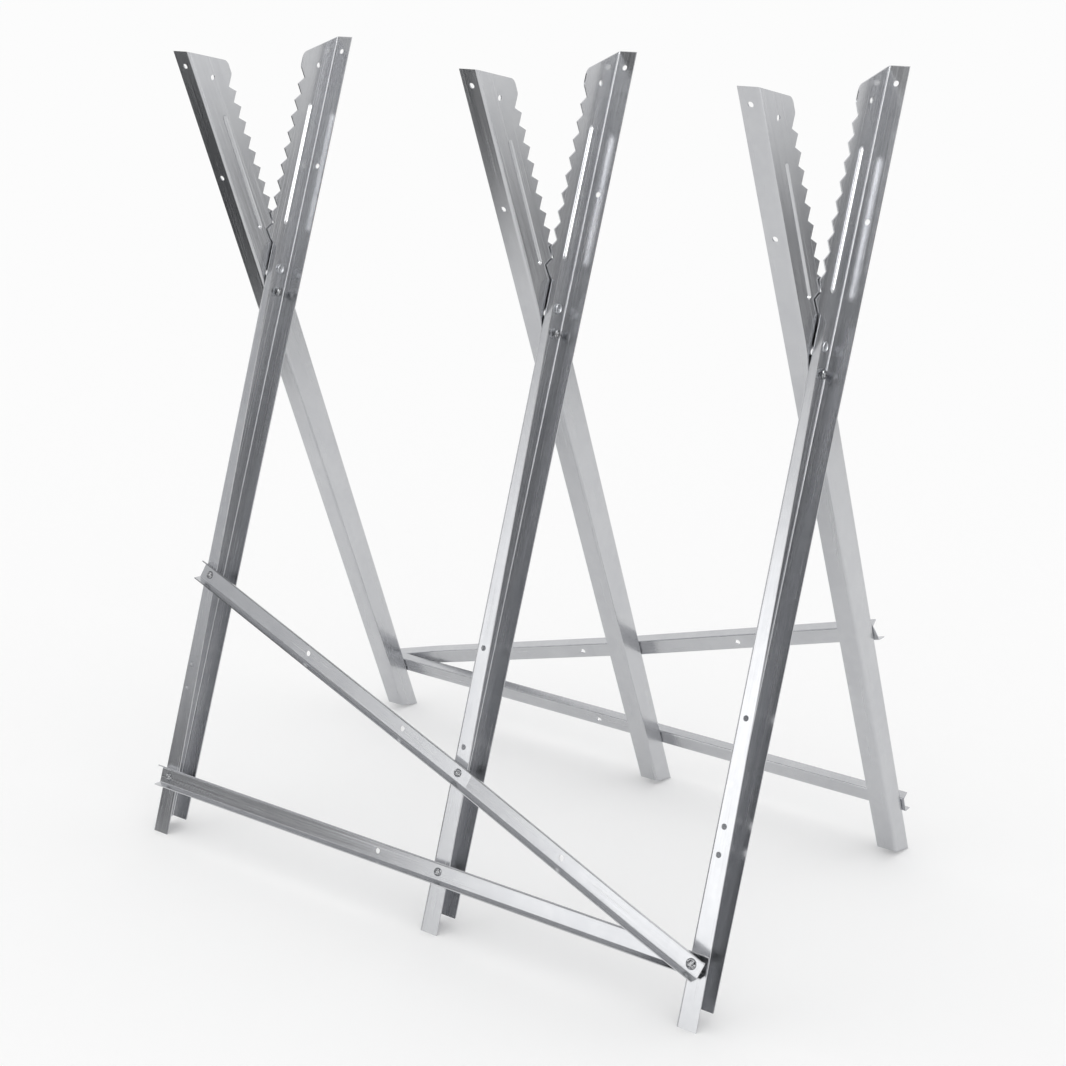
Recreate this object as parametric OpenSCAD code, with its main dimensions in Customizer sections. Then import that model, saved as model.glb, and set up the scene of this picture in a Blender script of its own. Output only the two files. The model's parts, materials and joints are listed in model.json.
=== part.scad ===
// Folding log saw stand: three crossed leg frames of bent galvanised sheet, tied by channel rails.
// Millimetres and degrees. X runs along the row of frames, Y from front to rear, Z is up.
// Each leg is drawn in its own frame: x away from the crossing plane, y to the leg's back, z up the leg.

/* [Stand] */
// Distance between the two outer frames
frame_span = 800; // [600:1:1000]
// Distance from the left frame to the middle frame
left_bay = 446; // [380:1:460]
// Lean of every leg from upright
lean = 20.6; // [17:0.1:24]

/* [Leg sheet] */
// Thickness of the leg sheet
sheet = 1.5; // [1:0.1:2]
// Inside radius of the leg's bends
bend_r = 1.5; // [1:0.1:2.5]
// Leg length from the pivot down to the toe
leg_below = 710; // [680:1:800]
// Leg length from the pivot up to the top corner
leg_above = 343; // [335:1:400]
// Slant of the cut across both ends of the leg
end_slant = 33.7; // [28:0.1:38]

/* [Leg channel] */
// Pivot to the outer face of the back flange
back_reach = 14.7; // [13:0.1:18]
// Free edge of the back flange, from the crossing plane
back_depth = 25.6; // [20:0.1:30]
// Pivot line to the outer face of the front flange, at the pivot
front_reach = 25.7; // [24.5:0.1:28]
// Pivot line to the outer face of the front flange, at the foot
foot_reach = 16.1; // [14:0.1:20]
// Free edge of the front flange from the crossing plane, at the pivot
front_depth = 11.6; // [9:0.1:14]
// Free edge of the front flange from the crossing plane, at the foot
foot_depth = 26; // [22:0.1:30]
// Height above the pivot where the front flange ends
flange_top = 60; // [54:1:62]
// Drop of the front flange's top edge towards its free edge
flange_top_drop = 7; // [4:0.5:12]

/* [Teeth] */
// Number of teeth in each arm
tooth_count = 10; // [6:1:10]
// Tooth spacing along the leg
tooth_pitch = 21.2; // [18:0.1:21.4]
// Pivot to the tip of the lowest tooth, along the leg
tooth_start = 73.5; // [73:0.5:78]
// Pivot line to the tooth tips
tooth_reach = 40.6; // [38:0.1:44]
// Depth of the gullets between teeth
tooth_depth = 9.6; // [6:0.1:10]
// Pivot line to the root of the notch under the lowest tooth
notch_reach = 30; // [29:0.5:32]
// Height of that root above the pivot
notch_up = 63; // [62:0.5:65]

/* [Lobe and bead] */
// Pivot line to the outer edge of the lobe above the teeth
lobe_reach = 42; // [40:0.5:46]
// Radius of the lobe's upper corner
lobe_r = 12; // [8:0.5:13]
// Radius of the lobe's lower corner
lobe_low_r = 6; // [4:0.5:7]
// Width of the pressed bead on the outside
bead_w = 9; // [6:0.5:10]
// Height of the pressed bead
bead_h = 2; // [1:0.1:2.4]
// Pivot line to the middle of the bead, on the tooth side
bead_off = 9.5; // [7:0.5:12]
// Lower end of the bead above the pivot
bead_low = 86; // [80:1:110]
// Upper end of the bead above the pivot
bead_high = 247.5; // [200:0.5:255]

/* [Holes] */
// Plain holes in the leg and clearance holes for the rail bolts
hole_d = 6.6; // [6.4:0.1:7.4]
// Back flange holes, from the crossing plane
back_hole_x = 13.5; // [12:0.5:15]
// Upper hole of the back flange, above the pivot
back_hole_high = 323; // [300:1:324]
// Lower hole of the back flange, above the pivot
back_hole_low = 170.5; // [120:0.5:220]
// Lobe hole, on the tooth side of the pivot line
lobe_hole_off = 10.8; // [8:0.1:14]
// Lobe hole, above the pivot
lobe_hole_up = 297; // [290:1:300]
// Rail bolt holes in the front flange, from the crossing plane
rail_hole_x = 10.5; // [10:0.1:12]
// Low rail, below the pivot along the front flange
low_rail_down = 639; // [600:1:650]
// Upper end of the brace, below the pivot along the front flange
brace_down = 375; // [330:1:420]

/* [Rails] */
// Thickness of the rail sheet
rail_sheet = 1.2; // [1:0.1:1.6]
// Inside radius of the rail's bends
rail_bend_r = 1; // [0.8:0.1:1.6]
// Flat width of the rail's web between its bends
rail_flat = 16.8; // [15:0.1:22]
// Straight length of the rail's lips
rail_lip = 9; // [6:0.5:12]
// Outward flare of the lips from square
rail_flare = 16; // [6:1:24]
// Rail length past its end bolts
rail_past = 13.5; // [12:0.5:20]
// Spare hole in the brace, from each end bolt
brace_spare = 198; // [150:1:230]

/* [Fasteners] */
// Diameter of the bolts and rivets
bolt_d = 6; // [5:0.1:6.2]
// Width across flats of the nuts and pivot bolt heads
nut_af = 10; // [9:0.1:10.5]
// Height of a nut
nut_h = 5; // [4:0.1:6]
// Height of a pivot bolt's head
hex_head_h = 4; // [3:0.1:5]
// Bolt end standing out of its nut
bolt_tail = 1.6; // [1:0.1:3]
// Head diameter of the rail bolts
dome_d = 10; // [9:0.5:11]
// Head diameter of the two corner bolts
corner_dome_d = 12.5; // [11:0.5:13]
// Height of a domed head
dome_h = 3; // [2:0.1:4]
// Outside diameter of the washers
washer_d = 12; // [11:0.5:14]
// Thickness of the washer under a pivot nut
washer_t = 1.2; // [0.8:0.1:1.6]
// Thickness of the spacer between crossing legs
spacer_t = 1; // [0.6:0.1:2]

/* [Stop] */
// Stop rivet above the pivot, along the front leg
stop_up = 29.3; // [28:0.1:32]
// Stop rivet on the tooth side of the pivot line
stop_off = 3; // [2:0.1:5]
// Head diameter of the stop rivet
stop_head_d = 12; // [10:0.5:13]
// Height of the stop rivet's head
stop_head_h = 2.2; // [1.5:0.1:3]
// Closed head of the stop rivet, behind the rear leg
stop_tail_d = 10; // [9:0.5:10.5]

/* [Hidden] */
$fn = 96;
// Radial play of the pivot bolts and stop rivets in their holes
pivot_play = 0.05;
// Play between faces that slide on each other as the stand folds
slide_play = 0.05;
// Radial play of a nut's or a washer's hole on its bolt
thread_play = 0.05;
// Radial play of the stop rivet across its slot, and in the round ends of the slot
slot_play = 0.15;
slot_end_play = 0.3;
// Overrun of every cut
over = 1;
// Wall of overlap that joins a bend to the flat sheet next to it
lap = 3;
// Flats round each bend of the braces
bend_steps = 6;
// Step to which the braces' corners are rounded, so that their faces stay flat
snap = 0.001;

// Chamfer of a nut's corners, and how much of a domed head stands straight
nut_chamfer_share = 0.5;
dome_rim_share = 0.25;

left_x = -frame_span / 2;
middle_x = left_x + left_bay;
right_x = frame_span / 2;

web_in = spacer_t / 2;
web_out = web_in + sheet;
bend_out = bend_r + sheet;
bend_end = web_in + bend_out;
bend_tilt = atan((front_reach - foot_reach) / leg_below);
pivot_z = leg_below * cos(lean) - foot_reach * sin(lean);
// Longer than the leg in any direction, for cuts that run out of it
reach = leg_below + leg_above;

gullet_reach = tooth_reach - tooth_depth;
half_pitch = tooth_pitch / 2;
flank = norm([half_pitch, tooth_depth]);
gullet_top = tooth_start + tooth_count * tooth_pitch - half_pitch;
lobe_y = lobe_r - lobe_reach;
lobe_z = top_edge(lobe_y) - lobe_r / cos(end_slant);
lobe_low_y = lobe_low_r - lobe_reach;
lobe_low_z = gullet_top
    + (lobe_low_r * flank - (lobe_low_y + gullet_reach) * half_pitch) / tooth_depth;

bead_r = (bead_w * bead_w / 4 + bead_h * bead_h) / (2 * bead_h);
bead_x = web_out + bead_h - bead_r;

rail_turn = 90 - rail_flare;
rail_bend_out = rail_bend_r + rail_sheet;
// Height of the lip tips over the seat, where the corner of the brace rests
rail_rise = rail_bend_out - rail_bend_r * cos(rail_turn) + rail_lip * sin(rail_turn);
rail_tip = rail_flat / 2 + rail_bend_out * sin(rail_turn) + rail_lip * cos(rail_turn);
rail_half = rail_flat / 2 + rail_bend_out * tan(rail_turn / 2);

brace_drop = low_rail_down - brace_down;
brace_angle = atan(brace_drop / frame_span);
brace_len = norm([frame_span, brace_drop]);
// End stretch of the brace that lies over the low rail's lips, and its seat past the middle bolt
brace_seat = (rail_tip + rail_half * cos(brace_angle)) / sin(brace_angle) + over;
brace_lead = foot_depth - rail_hole_x + lap;

stop_r = norm([stop_up, stop_off]);
stop_angle = atan(stop_off / stop_up);
stop_hole_d = bolt_d + 2 * pivot_play;
slot_d = bolt_d + 2 * slot_play;
slot_end_d = bolt_d + 2 * slot_end_play;
fold = 2 * lean;

steel = "#b9bbbf";
rail_steel = "#c6c8cc";
bolt_steel = "#8d9094";

// Height of the leg's slanted top edge at y
function top_edge(y) = leg_above - (back_reach - y) * tan(end_slant);
// Distance of the front flange's outer face from the pivot line at height z
function front_at(z) = front_reach + (front_reach - foot_reach) * z / leg_below;
// Depth of the front flange's free edge at height z
function depth_at(z) = front_depth - (foot_depth - front_depth) * z / leg_below;
// Place of a rail hole down the front flange on the brace's line, at x from the left bolt
function brace_z(x) = -brace_down - brace_drop * x / frame_span;

// Front half of the stand, hung on the pivot axis
module front_side() {
    translate([0, 0, pivot_z]) rotate([-lean, 0, 0]) children();
}

// The same half turned round the upright axis
module rear_side() {
    rotate([0, 0, 180]) front_side() children();
}

// Frame on the outer face of the front flanges, y into the leg, z up the bend line
module flange_frame() {
    translate([0, -front_reach, 0]) rotate([bend_tilt, 0, 0]) children();
}

// Solid whose outline lies across and along the leg, from depth x by thickness t
module across(x, t) {
    translate([x, 0, 0]) rotate([90, 0, 90]) linear_extrude(t) children();
}

// Sector of bent sheet about the origin, from straight down through a turn
module bend_ring(inside, thick, turn) {
    outside = inside + thick;
    span = outside + outside;
    intersection() {
        difference() {
            circle(outside);
            circle(inside);
        }
        polygon([[0, 0], [0, -span], [span, -span], [span * sin(turn), -span * cos(turn)]]);
    }
}

// Bend of the leg sheet with a strip of web on its flat side, drawn as depth over width
module leg_bend() {
    translate([bend_end, bend_out]) rotate(-90) bend_ring(bend_r, sheet, 90);
    translate([web_in, bend_out]) square([sheet, lap]);
}

// Outline of the flat web and its toothed arm
module web_outline() {
    back = back_reach - bend_out;
    inset = bend_out + lap / 2;
    front_low = inset - front_at(-leg_below - lap);
    front_high = inset - front_at(flange_top - lap);
    teeth = [
        for (k = [tooth_count - 1:-1:0])
            let (z = tooth_start + k * tooth_pitch)
            each [[-gullet_reach, z + half_pitch], [-tooth_reach, z]]
    ];
    polygon(concat(
        [
            [front_low, -leg_below - lap],
            [back, -leg_below - lap],
            [back, top_edge(back)],
            [lobe_y - lobe_r * sin(end_slant), lobe_z + lobe_r * cos(end_slant)],
            [-lobe_reach, lobe_z],
            [-lobe_reach, lobe_low_z],
            [
                lobe_low_y - lobe_low_r * half_pitch / flank,
                lobe_low_z - lobe_low_r * tooth_depth / flank
            ]
        ],
        teeth,
        [[-notch_reach, notch_up], [front_high, flange_top - lap]]
    ));
    translate([lobe_y, lobe_z]) circle(lobe_r);
    translate([lobe_low_y, lobe_low_z]) circle(lobe_low_r);
}

// Back flange with its bend, full length
module back_flange() {
    translate([0, back_reach, -leg_below - lap]) {
        linear_extrude(reach + lap) mirror([0, 1]) leg_bend();
        translate([bend_end, -sheet, 0]) cube([back_depth - bend_end, sheet, reach + lap]);
    }
}

// Front flange with its bend, deeper and nearer the pivot line towards the foot
module front_flange() {
    foot = -leg_below - lap;
    tip = flange_top - flange_top_drop;
    flange_frame() {
        translate([0, 0, foot]) linear_extrude(flange_top - foot) leg_bend();
        translate([0, sheet, 0]) rotate([90, 0, 0]) linear_extrude(sheet)
            polygon([
                [bend_end, foot],
                [depth_at(foot), foot],
                [depth_at(tip), tip],
                [bend_end, flange_top]
            ]);
    }
}

// What both slanted end cuts take away; the toe is left flat on the ground
module end_cuts() {
    toe_y = sheet - foot_reach;
    toe_z = sheet * tan(lean) - leg_below;
    depth = back_depth + foot_depth;
    across(-over, depth) polygon([
        [toe_y - reach, toe_z - reach * tan(lean)],
        [toe_y, toe_z],
        [toe_y + reach, toe_z + reach * tan(end_slant)],
        [toe_y + reach, -reach - reach],
        [toe_y - reach, -reach - reach]
    ]);
    across(-over, depth) polygon([
        [back_reach - reach, top_edge(back_reach - reach)],
        [back_reach + reach, top_edge(back_reach + reach)],
        [back_reach + reach, reach + reach],
        [back_reach - reach, reach + reach]
    ]);
}

// Round bar with ball ends along the bead
module bead_bar(radius) {
    low = bead_low + bead_w / 2;
    high = bead_high - bead_w / 2;
    translate([bead_x, -bead_off, 0]) {
        translate([0, 0, low]) cylinder(high - low, r = radius);
        translate([0, 0, low]) sphere(radius);
        translate([0, 0, high]) sphere(radius);
    }
}

// Raised outside of the bead, on the face away from the other leg
module bead_ridge() {
    intersection() {
        bead_bar(bead_r);
        translate([web_in + sheet / 2, -bead_off - bead_w, bead_low - bead_w])
            cube([bead_h + sheet, bead_w + bead_w, bead_high - bead_low + bead_w + bead_w]);
    }
}

// Hole through the web at y and z
module web_hole(y, z, d) {
    translate([web_in - over, y, z]) rotate([0, 90, 0]) cylinder(sheet + over + over, d = d);
}

// Plain holes of every leg
module leg_holes() {
    web_hole(0, 0, bolt_d + 2 * pivot_play);
    web_hole(-lobe_hole_off, lobe_hole_up, hole_d);
    for (z = [back_hole_low, back_hole_high])
        translate([back_hole_x, back_reach + over, z]) rotate([90, 0, 0])
            cylinder(sheet + over + over, d = hole_d);
    brace_holes = [for (x = [0, left_bay, frame_span - left_bay]) brace_z(x)];
    flange_frame() for (z = concat(brace_holes, [-low_rail_down]))
        translate([rail_hole_x, sheet + over, z]) rotate([90, 0, 0])
            cylinder(sheet + over + over, d = hole_d);
}

// One bent leg with its toothed arm
module leg_blank() {
    difference() {
        union() {
            across(web_in, sheet) web_outline();
            back_flange();
            front_flange();
            bead_ridge();
        }
        end_cuts();
        bead_bar(bead_r - sheet);
        leg_holes();
    }
}

module front_leg() {
    difference() {
        leg_blank();
        web_hole(-stop_off, stop_up, stop_hole_d);
    }
}

// Curved slot about the pivot, from the open stop to the folded stop
module stop_slot() {
    open_at = fold - stop_angle;
    wedge = stop_r + stop_r;
    across(web_in - over, sheet + over + over) {
        intersection() {
            difference() {
                circle(stop_r + slot_d / 2);
                circle(stop_r - slot_d / 2);
            }
            polygon([
                [0, 0],
                [-wedge * sin(open_at), wedge * cos(open_at)],
                [0, wedge + wedge],
                [wedge * sin(stop_angle), wedge * cos(stop_angle)]
            ]);
        }
        for (turn = [open_at, -stop_angle]) rotate(turn) translate([0, stop_r]) circle(d = slot_end_d);
    }
}

module rear_leg() {
    difference() {
        leg_blank();
        stop_slot();
    }
}

module front_leg_left() color(steel) front_side() translate([left_x, 0, 0]) front_leg();
module front_leg_middle() color(steel) front_side() translate([middle_x, 0, 0]) front_leg();
module front_leg_right() color(steel) front_side() translate([right_x, 0, 0]) front_leg();
module rear_leg_left() color(steel) rear_side() translate([-left_x, 0, 0]) rear_leg();
module rear_leg_middle() color(steel) rear_side() translate([-middle_x, 0, 0]) rear_leg();
module rear_leg_right() color(steel) rear_side() translate([-right_x, 0, 0]) rear_leg();

// Section of a rail: flat web on the seat, two lips flared away from it
module rail_section() {
    for (side = [0, 1]) mirror([side, 0]) {
        square([rail_flat / 2, rail_sheet]);
        translate([rail_flat / 2, rail_bend_out]) {
            bend_ring(rail_bend_r, rail_sheet, rail_turn);
            rotate(rail_turn - 90) translate([rail_bend_r, 0]) square([rail_sheet, rail_lip]);
        }
    }
}

// Straight rail along x from a to b, its seat on the plane y = 0 and its lips towards -y
module rail_bar(a, b) {
    translate([a, 0, 0]) rotate([90, 0, 90]) linear_extrude(b - a)
        rotate(90) rail_section();
}

// Bolt hole through a rail's web, its seat raised by rise
module rail_hole(x, rise) {
    translate([x, over - rise, 0]) rotate([90, 0, 0])
        cylinder(rail_sheet + over + over, d = hole_d);
}

// Rail low on the legs, with bolt holes for the middle leg of either side
module low_rail() {
    flange_frame() translate([left_x + rail_hole_x, 0, -low_rail_down]) difference() {
        rail_bar(-rail_past, frame_span + rail_past);
        for (x = [0, left_bay, frame_span - left_bay, frame_span]) rail_hole(x, 0);
    }
}

// One edge of the rail's section on its right half, from the web round the bend to the lip's tip
function rail_edge(r) = concat(
    [
        for (k = [0:bend_steps])
            let (turn = rail_turn * k / bend_steps)
            [rail_flat / 2 + r * sin(turn), rail_bend_out - r * cos(turn)]
    ],
    [[
        rail_flat / 2 + r * sin(rail_turn) + rail_lip * cos(rail_turn),
        rail_bend_out - r * cos(rail_turn) + rail_lip * sin(rail_turn)
    ]]
);
function backwards(points) = [for (k = [len(points) - 1:-1:0]) points[k]];
function left_half(points) = [for (p = points) [-p[0], p[1]]];

// The section once round, as points across and out
function rail_loop() = concat(
    rail_edge(rail_bend_out), backwards(rail_edge(rail_bend_r)),
    left_half(rail_edge(rail_bend_r)), backwards(left_half(rail_edge(rail_bend_out)))
);

function snapped(v) = round(v / snap) * snap;

// Rail bent along stations of [place along x, height of the seat there]
module bent_rail(stations) {
    loop = [for (p = rail_loop()) [snapped(p[0]), snapped(p[1])]];
    n = len(loop);
    last = (len(stations) - 1) * n;
    points = [for (s = stations) for (p = loop) [snapped(s[0]), -snapped(s[1]) - p[1], p[0]]];
    sides = [
        for (a = [0:n:last - n])
            for (j = [0:n - 1])
                let (k = (j + 1) % n)
                [a + j, a + n + j, a + n + k, a + k]
    ];
    // the cut ends, in strips from the outer edge to the inner one
    inner = n * 3 / 4 - 1;
    strips = [
        for (j = [0:n / 2 - 2])
            [(inner + 1 + j) % n, (inner + 2 + j) % n, inner - 1 - j, inner - j]
    ];
    far_strips = [for (q = strips) [for (k = [3:-1:0]) last + q[k]]];
    polyhedron(points, concat(sides, strips, far_strips));
}

// Places along the brace of its bolts, for the middle leg at x from the left bolt
function along(x) = x / cos(brace_angle);

// Diagonal rail, sprung out past the middle leg so that its corner rests on the low rail's lips
module brace(middle) {
    leave = along(middle) + brace_lead;
    land = brace_len - brace_seat;
    spares = [brace_spare, brace_len - brace_spare];
    bolts = [0, along(left_bay), along(frame_span - left_bay), brace_len];
    flange_frame() translate([left_x + rail_hole_x, 0, -brace_down]) rotate([0, brace_angle, 0])
        difference() {
            bent_rail([
                [-rail_past, 0], [leave, 0],
                [land, rail_rise], [brace_len + rail_past, rail_rise]
            ]);
            for (x = concat(bolts, spares)) rail_hole(x, brace_rise(x, leave, land));
        }
}

// Height of the brace's seat at x, up its sprung stretch
function brace_rise(x, leave, land) = rail_rise * min(max((x - leave) / (land - leave), 0), 1);

module front_low_rail() color(rail_steel) front_side() low_rail();
module rear_low_rail() color(rail_steel) rear_side() low_rail();
module front_brace() color(rail_steel) front_side() brace(left_bay);
module rear_brace() color(rail_steel) rear_side() brace(frame_span - left_bay);

// Domed head on the plane z = 0, standing up
module dome_head(d, h) {
    rim = h * dome_rim_share;
    rise = h - rim;
    ball = (d * d / 4 + rise * rise) / (2 * rise);
    cylinder(rim, d = d);
    translate([0, 0, rim]) intersection() {
        translate([0, 0, rise - ball]) sphere(ball);
        cylinder(rise, d = d);
    }
}

// Hexagon with its outer corners chamfered, standing up from z = 0
module hex_block(h) {
    corner = nut_af / 2 / cos(30);
    slope = (corner - nut_af / 2) * nut_chamfer_share;
    intersection() {
        cylinder(h, r = corner, $fn = 6);
        union() {
            cylinder(h - slope, r = corner);
            translate([0, 0, h - slope]) cylinder(slope, corner, nut_af / 2);
        }
    }
}

module hex_nut() {
    difference() {
        hex_block(nut_h);
        translate([0, 0, -over]) cylinder(nut_h + over + over, d = bolt_d + 2 * thread_play);
    }
}

module washer(t) {
    difference() {
        cylinder(t, d = washer_d);
        translate([0, 0, -over]) cylinder(t + over + over, d = bolt_d + 2 * thread_play);
    }
}

// Rail bolt from its head, seated rise above the leg, through to past its nut
module rail_bolt(d, rise) {
    grip = rise + rail_sheet + sheet + nut_h + bolt_tail;
    translate([0, -rise - rail_sheet, 0]) rotate([90, 0, 0]) {
        dome_head(d, dome_h);
        translate([0, 0, -grip]) cylinder(grip, d = bolt_d);
    }
}

// Nut inside the leg's front flange
module rail_nut() {
    translate([0, sheet, 0]) rotate([-90, 0, 0]) hex_nut();
}

// Bolts at both ends and the middle of the rails, apart from the shared corner
module at_rail_bolts(middle) {
    flange_frame() translate([left_x + rail_hole_x, 0, 0])
        for (p = [
            [0, -low_rail_down], [middle, -low_rail_down], [0, -brace_down], [middle, brace_z(middle)]
        ])
            translate([p[0], 0, p[1]]) children();
}

// Corner that the low rail and the brace share
module at_corner() {
    flange_frame() translate([right_x + rail_hole_x, 0, -low_rail_down]) children();
}

module front_rail_bolts() color(bolt_steel) front_side() at_rail_bolts(left_bay) rail_bolt(dome_d, 0);
module front_rail_nuts() color(bolt_steel) front_side() at_rail_bolts(left_bay) rail_nut();
module front_corner_bolt() color(bolt_steel) front_side() at_corner() rail_bolt(corner_dome_d, rail_rise);
module front_corner_nut() color(bolt_steel) front_side() at_corner() rail_nut();

module rear_rail_bolts() {
    color(bolt_steel) rear_side() at_rail_bolts(frame_span - left_bay) rail_bolt(dome_d, 0);
}

module rear_rail_nuts() {
    color(bolt_steel) rear_side() at_rail_bolts(frame_span - left_bay) rail_nut();
}

module rear_corner_bolt() color(bolt_steel) rear_side() at_corner() rail_bolt(corner_dome_d, rail_rise);
module rear_corner_nut() color(bolt_steel) rear_side() at_corner() rail_nut();

// Pivot axis of each frame, turned with the front legs so that z runs along x
module at_pivots() {
    front_side() for (x = [left_x, middle_x, right_x]) translate([x, 0, 0]) children();
}

// Pivot bolt: hexagon head behind the rear leg, plain shank through both legs
module pivot_bolts() {
    head = web_out + slide_play;
    length = head + web_out + washer_t + nut_h + bolt_tail;
    color(bolt_steel) at_pivots() translate([-head, 0, 0]) rotate([0, 90, 0]) {
        cylinder(length, d = bolt_d);
        mirror([0, 0, 1]) hex_block(hex_head_h);
    }
}

module pivot_nuts() {
    color(bolt_steel) at_pivots() translate([web_out + washer_t, 0, 0]) rotate([0, 90, 0]) hex_nut();
}

module pivot_washers() {
    color(steel) at_pivots() translate([web_out, 0, 0]) rotate([0, 90, 0]) washer(washer_t);
}

// Spacer that holds the crossing webs apart
module pivot_spacers() {
    thick = spacer_t - slide_play;
    color(steel) at_pivots() translate([web_in - thick, 0, 0]) rotate([0, 90, 0]) washer(thick);
}

// Rivet fixed in the front leg; its shank runs in the rear leg's curved slot
module stop_rivets() {
    back = web_out + slide_play;
    color(steel) at_pivots() translate([0, -stop_off, stop_up]) rotate([0, 90, 0]) {
        translate([0, 0, web_out]) dome_head(stop_head_d, stop_head_h);
        translate([0, 0, -back]) cylinder(back + web_out, d = bolt_d);
        translate([0, 0, -back]) mirror([0, 0, 1]) dome_head(stop_tail_d, stop_head_h);
    }
}

front_leg_left();
front_leg_middle();
front_leg_right();
rear_leg_left();
rear_leg_middle();
rear_leg_right();
front_low_rail();
front_brace();
rear_low_rail();
rear_brace();
front_rail_bolts();
front_rail_nuts();
front_corner_bolt();
front_corner_nut();
rear_rail_bolts();
rear_rail_nuts();
rear_corner_bolt();
rear_corner_nut();
pivot_bolts();
pivot_nuts();
pivot_washers();
pivot_spacers();
stop_rivets();
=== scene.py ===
# %% [markdown]
# # Dressing a log saw stand
#
# The stand is six bent strips of galvanised sheet, crossed in pairs and tied
# together by four channel rails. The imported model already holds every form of
# the sheet, so Blender is here for the finish: zinc that mirrors a soft
# studio, and the turned, threaded and rolled detail of the small fasteners.
# Everything is in metres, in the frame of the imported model.

import json
import math

import bpy
import numpy as np
from mathutils import Matrix, Vector

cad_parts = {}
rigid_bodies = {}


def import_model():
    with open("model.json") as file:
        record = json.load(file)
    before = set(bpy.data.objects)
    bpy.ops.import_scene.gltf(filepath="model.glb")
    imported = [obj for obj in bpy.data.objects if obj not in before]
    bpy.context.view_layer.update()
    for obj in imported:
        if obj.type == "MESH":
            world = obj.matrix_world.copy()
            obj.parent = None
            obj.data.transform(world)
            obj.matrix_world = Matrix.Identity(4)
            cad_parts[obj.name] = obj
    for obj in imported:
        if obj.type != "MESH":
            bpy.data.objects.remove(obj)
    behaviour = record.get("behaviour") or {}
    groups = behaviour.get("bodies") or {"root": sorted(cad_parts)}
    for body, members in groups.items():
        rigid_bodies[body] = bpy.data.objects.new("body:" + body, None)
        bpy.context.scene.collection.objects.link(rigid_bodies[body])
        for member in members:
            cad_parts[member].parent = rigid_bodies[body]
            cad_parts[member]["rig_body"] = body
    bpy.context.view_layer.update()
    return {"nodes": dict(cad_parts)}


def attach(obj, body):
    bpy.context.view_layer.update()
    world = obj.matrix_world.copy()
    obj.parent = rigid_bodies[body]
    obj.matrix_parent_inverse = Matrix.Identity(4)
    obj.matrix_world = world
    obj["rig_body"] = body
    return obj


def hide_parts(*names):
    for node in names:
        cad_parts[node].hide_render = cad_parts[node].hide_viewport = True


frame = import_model()
nodes = frame["nodes"]

# %% [markdown]
# ## Measuring the model
#
# A finish that runs along a leg has to know which way the leg points, and a
# threaded bolt has to know where its plain stand-in sits. Both could be typed
# in again, but then they would go stale when the model changes. Reading them
# from the frame's own corners keeps one source for each size.

# %% Corners, solids and directions of a node
MICRON = 6  # decimals of a metre at which two corners count as one place


def corners_of(name):
    """Corner points of a CAD node, one row of x, y, z for each."""
    mesh = nodes[name].data
    flat = np.empty(len(mesh.vertices) * 3, np.float32)
    mesh.vertices.foreach_get("co", flat)
    return flat.reshape(-1, 3).astype(float)


def triangles_of(name):
    """Corner numbers of a CAD node's triangles, one row of three for each."""
    mesh = nodes[name].data
    flat = np.empty(len(mesh.loops), np.int32)
    mesh.loops.foreach_get("vertex_index", flat)
    return flat.reshape(-1, 3)


def solids_of(name):
    """The separate solids of a node, each as its corner points.

    Corners at one place share a number. Each triangle hands the lowest number
    of its corners to all three, again and again, until nothing changes: then
    all corners of one solid hold the same number.
    """
    points = corners_of(name)
    same = np.unique(np.round(points, MICRON), axis=0, return_inverse=True)[1].ravel()
    triangles = same[triangles_of(name)]
    mark = np.arange(same.max() + 1)
    while True:
        lower = mark.copy()
        np.minimum.at(lower, triangles, mark[triangles].min(1)[:, None])
        if (lower == mark).all():
            break
        mark = lower
    owner = mark[same]
    return [points[owner == k] for k in np.unique(owner)]


def bolt_way(name):
    """Unit vector along the axis of a node's nuts, away from the stand's middle plane.

    A nut spreads alike in the two directions across its axis, so the axis is
    whichever of its three main directions has a spread unlike the other two.
    """
    points = np.unique(np.round(solids_of(name)[0], MICRON), axis=0)
    spread, ways = np.linalg.svd(points - points.mean(0), full_matrices=False)[1:]
    axis = ways[0] if spread[0] - spread[1] > spread[1] - spread[2] else ways[2]
    return axis * np.sign(axis[1] * points[:, 1].mean())


def long_way(name):
    """Unit vector along a node's longest spread: the first axis of its point cloud."""
    points = corners_of(name)
    return np.linalg.svd(points - points.mean(0), full_matrices=False)[2][0]


front_out = bolt_way("front_rail_nuts")
rear_out = bolt_way("rear_rail_nuts")
print("front bolts point", front_out.round(3), "rear bolts point", rear_out.round(3))
print("a front leg runs along", long_way("front_leg_left").round(3))

# %% [markdown]
# ## Turned and threaded fasteners
#
# The rails hang on domed M6 bolts, and each crossing turns on a hexagon bolt
# with a nut. On the real ones a thread runs up the tail, and the corners of a
# hexagon are cut back by a cone, which leaves the curved edges that one knows
# from any nut. Modelling that with booleans gives slow and messy meshes. Here
# each fastener is one surface over two parameters instead: the row says how
# far along the axis the point lies, the column says how far round.

# %% Points round each fastener
ROUND = 96
angles = np.linspace(0, 2 * math.pi, ROUND, endpoint=False)
print("points round each fastener:", ROUND)

# %% One fastener's own frame
UPRIGHT = 0.9  # an axis whose rise is over this counts as upright


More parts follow.
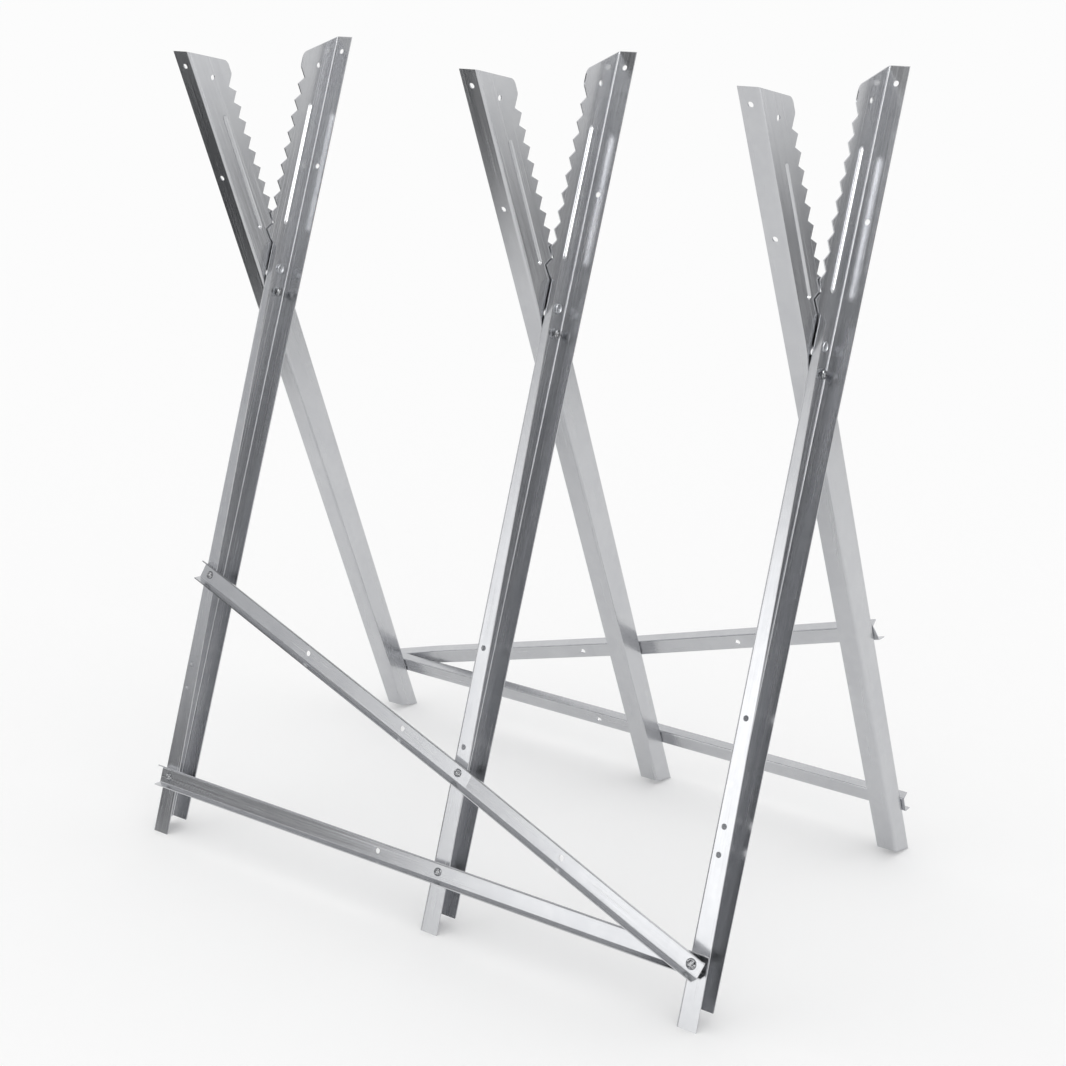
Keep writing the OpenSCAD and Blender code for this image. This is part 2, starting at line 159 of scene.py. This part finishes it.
def frame_of(points, axis):
    """Centre, reach along the axis, and angles of a solid about its axis.

    Two unit vectors across the axis span the plane of turning. The centre is
    the middle of the solid's reach along each of them.
    """
    axis = axis / np.linalg.norm(axis)
    side = np.cross(axis, [0.0, 0.0, 1.0] if abs(axis[2]) < UPRIGHT else [1.0, 0.0, 0.0])
    side /= np.linalg.norm(side)
    up = np.cross(axis, side)
    flat = np.stack([points @ side, points @ up], 1)
    middle = (flat.min(0) + flat.max(0)) / 2
    along = points @ axis
    flat -= middle
    return {
        "axis": axis,
        "side": side,
        "up": up,
        "centre": middle[0] * side + middle[1] * up,
        "along": along,
        "radius": np.linalg.norm(flat, axis=1),
        "angle": np.arctan2(flat[:, 1], flat[:, 0]),
    }


def around(fit, radius, along, turn=0.0):
    """Points about an axis: centre plus radius round it plus the way along it.

    radius has a row for each place along the axis and a column for each angle,
    along has a value for each row or for each point.
    """
    theta = angles + turn
    along = np.broadcast_to(np.reshape(along, (len(radius), -1)), radius.shape)
    return (
        fit["centre"]
        + (radius * np.cos(theta))[..., None] * fit["side"]
        + (radius * np.sin(theta))[..., None] * fit["up"]
        + along[..., None] * fit["axis"]
    )


def hexagon(flats):
    """Radius of a hexagon at each angle.

    It is half the width over flats, over the cosine of the angle from the
    middle of the nearest flat.
    """
    apart = (angles + math.pi / 6) % (math.pi / 3) - math.pi / 6
    return flats / 2 / np.cos(math.pi / 6 - np.abs(apart))


print("hexagon 10 mm over flats, corner radius:", hexagon(0.010).max().round(5))

# %% From grids to a mesh
CREASE = math.radians(32)  # edges that turn more than this stay sharp


def grid_faces(rows, start, loop):
    """Quads between neighbouring rows of a grid that is closed round its columns.

    With loop, the last row joins the first.
    """
    r = np.arange(rows if loop else rows - 1)[:, None]
    c = np.arange(ROUND)[None, :]
    below, above = r * ROUND, (r + 1) % rows * ROUND
    after = (c + 1) % ROUND
    quads = np.stack([below + c, below + after, above + after, above + c], -1)
    return (quads.reshape(-1, 4) + start).tolist()


def piece_from(name, grids, loop):
    """One object from several grids. Open grids get a flat face on each end."""
    faces, start = [], 0
    for grid in grids:
        faces += grid_faces(len(grid), start, loop)
        if not loop:
            end = start + (len(grid) - 1) * ROUND
            faces.append(list(range(start + ROUND - 1, start - 1, -1)))
            faces.append(list(range(end, end + ROUND)))
        start += len(grid) * ROUND
    mesh = bpy.data.meshes.new(name)
    points = np.concatenate([g.reshape(-1, 3) for g in grids])
    mesh.from_pydata(points.tolist(), [], faces)
    mesh.polygons.foreach_set("use_smooth", np.ones(len(mesh.polygons), bool))
    mesh.set_sharp_from_angle(angle=CREASE)
    mesh.validate()
    obj = bpy.data.objects.new(name, mesh)
    bpy.context.scene.collection.objects.link(obj)
    return obj


print("quads between two rows:", len(grid_faces(2, 0, False)))

# %% The thread, and the shank below a head
PITCH = 0.001
ROWS_A_TURN = 8
THREAD_DEPTH = 0.00055
TIP_CHAMFER = 0.0008
TIP_INSET = 1.4 * THREAD_DEPTH


def shank_rows(top, tip, radius):
    """Places along and radii of a threaded shank, from under the head to its tip.

    The thread is a round wave whose crest climbs by one pitch a turn: the phase
    is the place along the axis in pitches, less the angle in turns. A cone at
    the tip cuts it back to the core.
    """
    count = int(abs(tip - top) / PITCH * ROWS_A_TURN)
    along = np.linspace(top, tip, count)[:, None]
    phase = along / PITCH - angles / (2 * math.pi)
    wave = radius - THREAD_DEPTH * (0.5 + 0.5 * np.cos(2 * math.pi * phase))
    inset = np.clip(1 - np.abs(along - tip) / TIP_CHAMFER, 0, 1)
    return along[:, 0], np.minimum(wave, radius - inset * TIP_INSET)


def lathe_rows(along, radius):
    """Rows of a plain turned stretch: the same radius at every angle."""
    return np.asarray(along), np.repeat(np.asarray(radius)[:, None], ROUND, 1)


print("rows on a shank of 12 mm:", len(shank_rows(0.0, 0.012, 0.003)[0]))

# %% [markdown]
# ### Domed bolts of the rails
#
# A domed head is a shallow cap of a ball over a short straight rim. The
# stand-in gives the head's width, its height and the shank's radius; the cap
# follows from them, since a ball through the rim and the top has only one
# radius. The edge of the rim is broken a little, as on every pressed head.

# %% A domed bolt from its stand-in
RIM_BREAK = 0.00025
RIM_SHARE = 0.99  # corners past this share of the greatest radius lie on the rim
NEAR = 1e-5  # corners closer than this lie on one face
CAP_SHARES = np.linspace(0.04, 1, 14)  # rows of the cap, from near its top to its rim


def domed_bolt(points, axis):
    """Grid of one domed bolt: cap of a ball, rim, seat, threaded shank and tip.

    The ball's radius is the sum of the squares of the head's radius and the
    cap's rise, over twice the rise.
    """
    fit = frame_of(points, axis)
    along, radius = fit["along"], fit["radius"]
    wide, crown, tip = radius.max(), along.max(), along.min()
    rim = along[radius > RIM_SHARE * wide]
    seat, shoulder = rim.min(), rim.max()
    shank = radius[along < tip + NEAR].max()
    rise = crown - shoulder
    ball = (wide**2 + rise**2) / (2 * rise)
    sweep = CAP_SHARES * math.asin(wide / ball)
    cap = crown - ball * (1 - np.cos(sweep)), ball * np.sin(sweep)
    head = lathe_rows(
        np.r_[cap[0], shoulder - RIM_BREAK, seat + RIM_BREAK, seat],
        np.r_[cap[1] - RIM_BREAK * (sweep == sweep[-1]), wide, wide, wide - RIM_BREAK],
    )
    body = shank_rows(seat, tip, shank)
    grid_along = np.concatenate([head[0], body[0]])
    return around(fit, np.concatenate([head[1], body[1]]), grid_along)


def outward(grid):
    """The same grid with its rows turned round, so that the faces look out."""
    return grid[::-1]


def dress(obj, slot, *names):
    """obj takes the place of these nodes and rides on their body. slot is not used."""
    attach(obj, nodes[names[0]]["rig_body"])
    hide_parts(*names)
    return obj


domed = {}
for side, axis in (("front", front_out), ("rear", rear_out)):
    for kind in ("rail_bolts", "corner_bolt"):
        name = f"{side}_{kind}"
        grids = [outward(domed_bolt(p, axis)) for p in solids_of(name)]
        domed[name] = dress(piece_from(f"{name}_domed", grids, False), "bolts_and_nuts", name)
        print(name, "bolts:", len(grids), "faces:", len(domed[name].data.polygons))

# %% [markdown]
# ### Nuts and the hexagon bolts of the crossings
#
# A nut is a hexagon cut by a cone on both faces. At each height the surface is
# whichever of the two lies further in, so the smaller radius of hexagon and
# cone draws the curved edges by itself. A hexagon bolt is the same on its outer
# face only, with a threaded shank below it.

# %% Nuts
FACE_SHARE = 0.96  # radius of a nut's round face, as a share of half its width over flats
CONE_RUN = math.sqrt(3)  # what the cone gains in radius over each metre of depth
CONE_PAST = 1.2  # the rows go this much deeper than the cone
EDGE_STEPS = np.array([0.0, 0.08, 0.16, 0.25, 0.35, 0.5, 0.7, 1.0])
BORE_CHAMFER = 0.0005


def corner_turn(fit):
    """Angle of one corner of a hexagonal solid: where its radius is greatest."""
    return fit["angle"][fit["radius"].argmax()]


def coned_edge(corner):
    """Width over flats, face radius and the depths of the rows on a coned hexagon.

    The flats are the corner radius times the square root of three apart. The
    cone reaches the corner at the depth where it has gained what the face lacks.
    """
    flats = corner * math.sqrt(3)
    face = FACE_SHARE * flats / 2
    return flats, face, EDGE_STEPS * (corner - face) / CONE_RUN * CONE_PAST


def hex_nut(points, axis):
    """Closed grid of a nut: up the bore, out over the face, down the sides and back in.

    On the sides the radius is the smaller of the hexagon's and a cone's that
    starts a little inside the flats.
    """
    fit = frame_of(points, axis)
    low, high = fit["along"].min(), fit["along"].max()
    corner, bore = fit["radius"].max(), fit["radius"].min()
    flats, face, drop = coned_edge(corner)
    side = np.r_[low + drop, high - drop[::-1]]
    deep = np.minimum(side - low, high - side)[:, None]
    sides = np.minimum(hexagon(flats), face + CONE_RUN * deep)
    hole = np.array([bore + BORE_CHAMFER, bore, bore, bore + BORE_CHAMFER])
    hole_at = np.array([high, high - BORE_CHAMFER, low + BORE_CHAMFER, low])
    rows = np.concatenate([sides, np.repeat(hole[:, None], ROUND, 1)])
    return around(fit, rows, np.concatenate([side, hole_at]), corner_turn(fit))


nuts = {}
across = np.array([1.0, 0.0, 0.0])
for name, axis in (
    ("front_rail_nuts", front_out),
    ("front_corner_nut", front_out),
    ("rear_rail_nuts", rear_out),
    ("rear_corner_nut", rear_out),
    ("pivot_nuts", across),
):
    grids = [hex_nut(p, axis) for p in solids_of(name)]
    nuts[name] = dress(piece_from(f"{name}_hexagon", grids, True), "bolts_and_nuts", name)
    print(name, "nuts:", len(grids), "faces:", len(nuts[name].data.polygons))

# %% Hexagon bolts of the crossings
CROWN_SHARES = np.array([0.1, 0.6])  # rings on the flat top, as shares of its radius


def hex_bolt(points, axis):
    """Grid of a hexagon bolt, with the head at the low end of the axis.

    Its rows are the coned face, the hexagon, the seat, the threaded shank and
    the tip. On the hexagon the radius is the smaller of its own and the cone's.
    """
    fit = frame_of(points, axis)
    along, radius = fit["along"], fit["radius"]
    top, tip = along.min(), along.max()
    corner = radius.max()
    seat = along[radius > RIM_SHARE * corner].max()
    shank = radius[along > tip - NEAR].max()
    flats, face, drop = coned_edge(corner)
    side = np.r_[top + drop, seat]
    sides = np.minimum(hexagon(flats), face + CONE_RUN * (side - top)[:, None])
    crown = lathe_rows([top, top], face * CROWN_SHARES)
    body = shank_rows(seat, tip, shank)
    rows = np.concatenate([crown[1], sides, body[1]])
    return around(fit, rows, np.concatenate([crown[0], side, body[0]]), corner_turn(fit))


grids = [hex_bolt(p, across) for p in solids_of("pivot_bolts")]
pivots = dress(piece_from("pivot_bolts_hexagon", grids, False), "bolts_and_nuts", "pivot_bolts")
print("pivot bolts:", len(grids), "faces:", len(pivots.data.polygons))

# %% [markdown]
# ### Stop rivets
#
# A rivet with a dished head stops each frame from opening too far. Its head was
# rolled over by a spinning punch, which leaves a round rim about a shallow dish.
# Sculpting that is slow, and a plain dome would miss the bright ring that the
# rim draws. The head is a profile turned about the axis instead: a round for
# the rim, and a dish that falls from it to the middle.

# %% Rivets from their stand-ins
RIM_ROLL = 0.0011
RIM_SWEEP = np.linspace(math.radians(150), 0, 12)
DISH_DEPTH = 0.0008
DISH_SHARES = np.linspace(0.05, 1, 5, endpoint=False)


def dished_head(wide, seat, crown):
    """Places along and radii of a rivet head, from its middle out to its seat.

    The dish climbs with the cube of the radius, the rim goes over in a round of
    radius RIM_ROLL, and a straight edge drops to the seat.
    """
    way = math.copysign(1.0, crown - seat)
    rim_along = crown - way * RIM_ROLL * (1 - np.sin(RIM_SWEEP))
    rim_radius = wide - RIM_ROLL * (1 - np.cos(RIM_SWEEP))
    floor_at = crown - way * DISH_DEPTH
    dish_along = floor_at + (rim_along[0] - floor_at) * DISH_SHARES**3
    dish_radius = DISH_SHARES * rim_radius[0]
    return np.r_[dish_along, rim_along, seat], np.r_[dish_radius, rim_radius, wide]


def dished_rivet(points, axis):
    """Grid of one rivet: dished head, shank, and the smaller dished head on the far side."""
    fit = frame_of(points, axis)
    along, radius = fit["along"], fit["radius"]
    low, high = along.min(), along.max()
    middle = (low + high) / 2
    heads = []
    for end, half in ((low, along < middle), (high, along >= middle)):
        wide = radius[half].max()
        rim = along[half & (radius > RIM_SHARE * wide)]
        seat = rim.max() if end == low else rim.min()
        heads.append(dished_head(wide, seat, end))
    (low_along, low_radius), (high_along, high_radius) = heads
    shank = radius[np.abs(along - low_along[-1]) < NEAR].min()
    rows = [
        lathe_rows(low_along, low_radius),
        lathe_rows([low_along[-1], high_along[-1]], [shank, shank]),
        lathe_rows(high_along[::-1], high_radius[::-1]),
    ]
    return around(fit, np.concatenate([r[1] for r in rows]), np.concatenate([r[0] for r in rows]))


grids = [dished_rivet(p, across) for p in solids_of("stop_rivets")]
rivets = dress(piece_from("stop_rivets_dished", grids, False), "washers_and_rivets", "stop_rivets")
print("stop rivets:", len(grids), "faces:", len(rivets.data.polygons))

# %% [markdown]
# ## Galvanised sheet
#
# The sheet is cold rolled steel drawn through molten zinc. Rolling leaves fine
# lines along the strip, and the zinc freezes in flat crystals a few millimetres
# wide that mirror a little more or less than their neighbours. An image of zinc
# would have to be laid over every bend; patterns in space need no layout and
# run through all faces of a piece alike. Every strip gets the same finish,
# turned so that the rolling lines follow its length.


# %% Colours and nodes
def linear(code):
    """A colour written as sRGB hex, as linear red, green, blue and alpha."""
    parts = [int(code[k : k + 2], 16) / 255 for k in (1, 3, 5)]
    return [p / 12.92 if p < 0.04045 else ((p + 0.055) / 1.055) ** 2.4 for p in parts] + [1.0]


def add(tree, kind, sockets=None, **settings):
    """Adds a node: settings are its own options.

    sockets maps an input to a value, or to an output that feeds it.
    """
    node = tree.nodes.new("ShaderNode" + kind)
    for key, value in settings.items():
        setattr(node, key, value)
    for key, value in (sockets or {}).items():
        if isinstance(value, bpy.types.NodeSocket):
            tree.links.new(value, node.inputs[key])
        else:
            node.inputs[key].default_value = value
    return node


def new_material(name):
    """An empty node material, and its tree."""
    material = bpy.data.materials.new(name)
    material.use_nodes = True
    material.node_tree.nodes.clear()
    return material, material.node_tree


SHEET_PALE, SHEET_DEEP = "#C8C9CB", "#BFC0C3"
print("zinc grey in linear light:", [round(c, 3) for c in linear(SHEET_PALE)])

# %% Zinc on rolled sheet
# Dipping leaves a bright skin, and the rolling lines under it spread each
# reflection sideways, so the eye sees soft streaks of the room rather than a
# clear picture of it.
# Rolling lines are about 0.2 mm apart on the real sheet. They are drawn ten
# times as coarse, because finer ones fall between the pixels of the render.
LINE_WIDE, LINE_LONG = 0.0021, 0.22
LINE_DEEP, LINE_RELIEF = 0.00002, 0.3
LINE_SPAN = (0.3, 0.7)  # the part of the lines' noise that holds nearly all of it
SPANGLE = 0.0065
CLOUD = 0.055
SPANGLE_SHARE, LINE_SHARE = 0.3, 0.5  # what crystals and lines add to the clouds
TONE_SPAN = (0.6, 1.25)
SHEET_SHARP, SHEET_SOFT = 0.21, 0.28  # roughness


def turn_upright(direction):
    """Angles that turn this direction onto Z."""
    return Vector(direction).rotation_difference(Vector((0, 0, 1))).to_euler()


def zinc_sheet(name, direction, pale, deep):
    """Galvanised sheet: bright zinc, with lines along direction, spangle and soft clouds."""
    material, tree = new_material(name)
    place = add(tree, "TexCoord").outputs["Object"]
    turned = {"Vector": place, "Rotation": turn_upright(direction)}
    upright = add(tree, "Mapping", turned).outputs[0]
    stretch = (1 / LINE_WIDE, 1 / LINE_WIDE, 1 / LINE_LONG)
    lengthwise = add(tree, "VectorMath", {0: upright, 1: stretch}, operation="MULTIPLY").outputs[0]
    lines = add(tree, "TexNoise", {"Vector": lengthwise, "Scale": 1.0, "Detail": 3.0}).outputs[0]
    crystals = {"Vector": place, "Scale": 1 / SPANGLE}
    spangle = add(tree, "TexVoronoi", crystals, feature="SMOOTH_F1").outputs["Color"]
    grains = add(tree, "SeparateColor", {0: spangle}).outputs[0]
    drifts = {"Vector": upright, "Scale": 1 / CLOUD, "Detail": 4.0}
    clouds = add(tree, "TexNoise", drifts).outputs[0]
    # crystals, clouds and lines shift the grey of the zinc by a few parts in a hundred
    spangled = {0: grains, 1: SPANGLE_SHARE, 2: clouds}
    mixed = add(tree, "Math", spangled, operation="MULTIPLY_ADD").outputs[0]
    streaks = {0: lines, 1: LINE_SHARE, 2: mixed}
    streaked = add(tree, "Math", streaks, operation="MULTIPLY_ADD").outputs[0]
    tone = add(tree, "MapRange", {0: streaked, 1: TONE_SPAN[0], 2: TONE_SPAN[1]}).outputs[0]
    grey = add(tree, "MixRGB", {0: tone, 1: linear(deep), 2: linear(pale)}).outputs[0]
    softness = {0: lines, 1: LINE_SPAN[0], 2: LINE_SPAN[1], 3: SHEET_SHARP, 4: SHEET_SOFT}
    rough = add(tree, "MapRange", softness).outputs[0]
    grooves = {"Height": lines, "Strength": LINE_RELIEF, "Distance": LINE_DEEP}
    relief = add(tree, "Bump", grooves).outputs[0]
    metal = add(
        tree,
        "BsdfPrincipled",
        {"Base Color": grey, "Metallic": 1.0, "Roughness": rough, "Normal": relief},
    )
    add(tree, "OutputMaterial", {"Surface": metal.outputs[0]})
    return material


def coat(names, material):
    """Gives these CAD nodes this material."""
    for name in names:
        nodes[name].data.materials.clear()
        nodes[name].data.materials.append(material)


PLACES = ("left", "middle", "right")
for group in (
    [f"front_leg_{p}" for p in PLACES],
    [f"rear_leg_{p}" for p in PLACES],
    ["front_low_rail", "rear_low_rail"],
    ["front_brace"],
    ["rear_brace"],
):
    zinc = zinc_sheet(f"galvanised_{group[0]}", long_way(group[0]), SHEET_PALE, SHEET_DEEP)
    coat(group, zinc)
    print(zinc.name, "on", len(group), "nodes, along", long_way(group[0]).round(3))

# %% [markdown]
# ## Plated fasteners
#
# Bolts and nuts are barrel plated: a thin zinc that the other parts in the
# barrel have rubbed, so that bright and dull specks lie side by side. The
# finish is the same kind of metal as the sheet with a finer mottle that runs no
# particular way. The washers and rivets are more even, as they are stamped from
# polished strip.

# %% Plated zinc
# Tumbling in the barrel rubs some spots bright and leaves others dull, so a bolt
# head glitters in specks instead of mirroring one clean picture. Strip is
# polished before it is stamped, so washers and rivets mirror more evenly.
# The specks are some tenths of a millimetre wide on a real bolt. They are drawn
# a few times as coarse, so that a head of a dozen pixels still shows them.
MOTTLE = 0.0012
MOTTLE_DEEP, MOTTLE_RELIEF = 0.00002, 0.4
SPECK_SPAN = (0.4, 0.6)  # a narrow part of the noise, which gives the specks firm edges
SHINE_SPAN = (0.3, 0.7)


def plated(name, pale, deep, smooth, dull):
    """Plated steel: two greys in a fine mottle that also sets how sharply the metal mirrors."""
    material, tree = new_material(name)
    place = add(tree, "TexCoord").outputs["Object"]
    specks = {"Vector": place, "Scale": 1 / MOTTLE, "Detail": 3.0}
    mottle = add(tree, "TexNoise", specks).outputs[0]
    tone = add(tree, "MapRange", {0: mottle, 1: SPECK_SPAN[0], 2: SPECK_SPAN[1]}).outputs[0]
    grey = add(tree, "MixRGB", {0: tone, 1: linear(deep), 2: linear(pale)}).outputs[0]
    shine = {0: mottle, 1: SHINE_SPAN[0], 2: SHINE_SPAN[1], 3: smooth, 4: dull}
    rough = add(tree, "MapRange", shine).outputs[0]
    bumps = {"Height": mottle, "Strength": MOTTLE_RELIEF, "Distance": MOTTLE_DEEP}
    relief = add(tree, "Bump", bumps).outputs[0]
    metal = add(
        tree,
        "BsdfPrincipled",
        {"Base Color": grey, "Metallic": 1.0, "Roughness": rough, "Normal": relief},
    )
    add(tree, "OutputMaterial", {"Surface": metal.outputs[0]})
    return material


bolt_zinc = plated(
    "barrel_plated_zinc", pale="#D6D7D9", deep="#4A4C4F", smooth=0.10, dull=0.2
)
strip_zinc = plated(
    "stamped_zinc_strip", pale="#C6C8CB", deep="#ADAFB3", smooth=0.2, dull=0.34
)
for obj in [*domed.values(), *nuts.values(), pivots]:
    obj.data.materials.append(bolt_zinc)
rivets.data.materials.append(strip_zinc)
coat(["pivot_washers", "pivot_spacers"], strip_zinc)
print("plated pieces:", len(domed) + len(nuts) + 1)

# %% [markdown]
# ## Studio
#
# Bare zinc has hardly a colour of its own: it shows what stands round it. In an
# all white room it would come out flat. Strong lamps would give it contrast, but
# they would bleach the floor too. So a few grey boards and three soft lamps
# stand where only the metal's mirror finds them, as a photographer sets up a
# shiny subject. The white room lights the rest at a plain level, and the plain
# white floor keeps the shadow.


# %% Floor and boards
def matt_paint(name, code):
    """Matt studio paint: one plain colour without gloss."""
    material, tree = new_material(name)
    # chalk in the paint breaks up its surface, so the eye sees colour and shadow only
    chalky = {"Base Color": linear(code), "Roughness": 0.9, "Specular IOR Level": 0.0}
    paint = add(tree, "BsdfPrincipled", chalky)
    add(tree, "OutputMaterial", {"Surface": paint.outputs[0]})
    return material


def flat_board(name, middle, half_wide, half_high, material):
    """A rectangle: its corners are the middle plus or minus two half edges."""
    middle, u, v = (np.array(x, float) for x in (middle, half_wide, half_high))
    points = [middle - u - v, middle + u - v, middle + u + v, middle - u + v]
    mesh = bpy.data.meshes.new(name)
    mesh.from_pydata([p.tolist() for p in points], [], [(0, 1, 2, 3)])
    obj = bpy.data.objects.new(name, mesh)
    bpy.context.scene.collection.objects.link(obj)
    mesh.materials.append(material)
    return obj


floor_paint = matt_paint("white_floor_paint", "#FCFCFC")
dark_paint = matt_paint("dark_board_paint", "#404143")
grey_paint = matt_paint("grey_board_paint", "#616264")
pale_paint = matt_paint("pale_board_paint", "#D2D3D5")

FLOOR = 30.0  # half the floor's width, so that its edge is far outside every view
LAID = 0.004  # height of a board that lies on the floor
floor = flat_board("studio_floor", (0, 0, 0), (FLOOR, 0, 0), (0, FLOOR, 0), floor_paint)
# each board's name, middle, two half edges and paint
boards = [
    flat_board("low_board", (-1.5, -0.85, LAID), (0.75, 0, 0), (0, 0.5, 0), dark_paint),
    flat_board("left_board", (-2.87, -2.17, 0.26), (0.45, -0.6, 0), (0, 0, 0.26), grey_paint),
    flat_board("pale_board", (-2.87, -2.17, 1.56), (0.45, -0.6, 0), (0, 0, 1.04), pale_paint),
    flat_board("upper_board", (-2.0, -2.6, 2.9), (0.64, -0.48, 0), (0, 0, 0.75), dark_paint),
    flat_board("kerb_board", (-2.48, -2.62, 0.3), (0.81, 0, 0), (0, 0, 0.3), dark_paint),
    flat_board("rear_board", (2.88, 3.84, LAID), (1.14, 1.52, 0), (1.1, -0.8, 0), grey_paint),
    flat_board("camera_board", (2.1, -2.42, 1.95), (0.57, 0.49, 0), (0, 0, 1.05), grey_paint),
]
for board in boards:
    board.visible_camera = False
    board.visible_diffuse = False
    board.visible_shadow = False
print("stage:", floor.name, [b.name for b in boards])


# %% Lamps
def soft_lamp(name, place, target, wide, high, strength):
    """A soft lamp that faces target.

    strength is how bright its face is, where 1 is the white of the room.
    """
    lamp = bpy.data.lights.new(name, "AREA")
    lamp.shape = "RECTANGLE"
    lamp.size, lamp.size_y = wide, high
    lamp.energy = strength * math.pi * wide * high
    obj = bpy.data.objects.new(name, lamp)
    bpy.context.scene.collection.objects.link(obj)
    obj.location = place
    obj.rotation_euler = (Vector(target) - Vector(place)).to_track_quat("-Z", "Y").to_euler()
    obj.visible_camera = False
    obj.visible_diffuse = False
    return obj


# each lamp's name, place, target, width, height and strength
lamps = [
    soft_lamp("front_lamp", (-1.35, -3.0, 0.9), (0, 0, 0.6), 1.3, 1.2, 1.1),
    soft_lamp("right_lamp", (2.57, -1.54, 2.0), (0, 0, 0.8), 0.8, 1.5, 3.4),
    soft_lamp("rear_lamp", (2.8, 1.08, 1.2), (0, 0, 0.9), 1.4, 1.1, 7.0),
]
print("lamps:", [x.name for x in lamps])

# %% White room
world = bpy.data.worlds.new("white_room")
bpy.context.scene.world = world
world.use_nodes = True
world.node_tree.nodes.clear()
sky = add(world.node_tree, "Background", {"Color": linear("#FFFFFF"), "Strength": 1.0})
add(world.node_tree, "OutputWorld", {"Surface": sky.outputs[0]})
bpy.context.scene.view_settings.view_transform = "Standard"
print("world strength:", sky.inputs["Strength"].default_value)

# %% [markdown]
# ## Camera
#
# The camera was solved from measured points of the photograph: its place, its
# turn, tilt and roll, its focal length in pixels, and the point at which its
# axis meets the picture. Blender takes the last as a shift.

# %% Camera at the photograph's place
PIXELS = 1066
FOCAL_PIXELS = 2131.706
AXIS_PIXEL = (494.02, 455.80)
CAMERA_AT = (1.501516, -1.961344, 1.191790)
YAW, PITCH_DOWN, ROLL = 0.66723, 0.27192, -0.01253
SENSOR = 36.0  # millimetres

lens = bpy.data.cameras.new("photo_camera")
lens.sensor_width = SENSOR
lens.lens = FOCAL_PIXELS / PIXELS * SENSOR
lens.shift_x = 0.5 - AXIS_PIXEL[0] / PIXELS
lens.shift_y = AXIS_PIXEL[1] / PIXELS - 0.5
camera = bpy.data.objects.new("photo_camera", lens)
bpy.context.scene.collection.objects.link(camera)
level = Vector((math.cos(YAW), math.sin(YAW), 0))
ahead = Vector(
    (
        -math.sin(YAW) * math.cos(PITCH_DOWN),
        math.cos(YAW) * math.cos(PITCH_DOWN),
        -math.sin(PITCH_DOWN),
    )
)
above = level.cross(ahead)
right = math.cos(ROLL) * level + math.sin(ROLL) * above
up = math.cos(ROLL) * above - math.sin(ROLL) * level
turn = Matrix((right, up, -ahead)).transposed().to_4x4()
camera.matrix_world = Matrix.Translation(CAMERA_AT) @ turn
bpy.context.scene.camera = camera
print("lens:", round(lens.lens, 2), "mm, shift:", round(lens.shift_x, 4), round(lens.shift_y, 4))
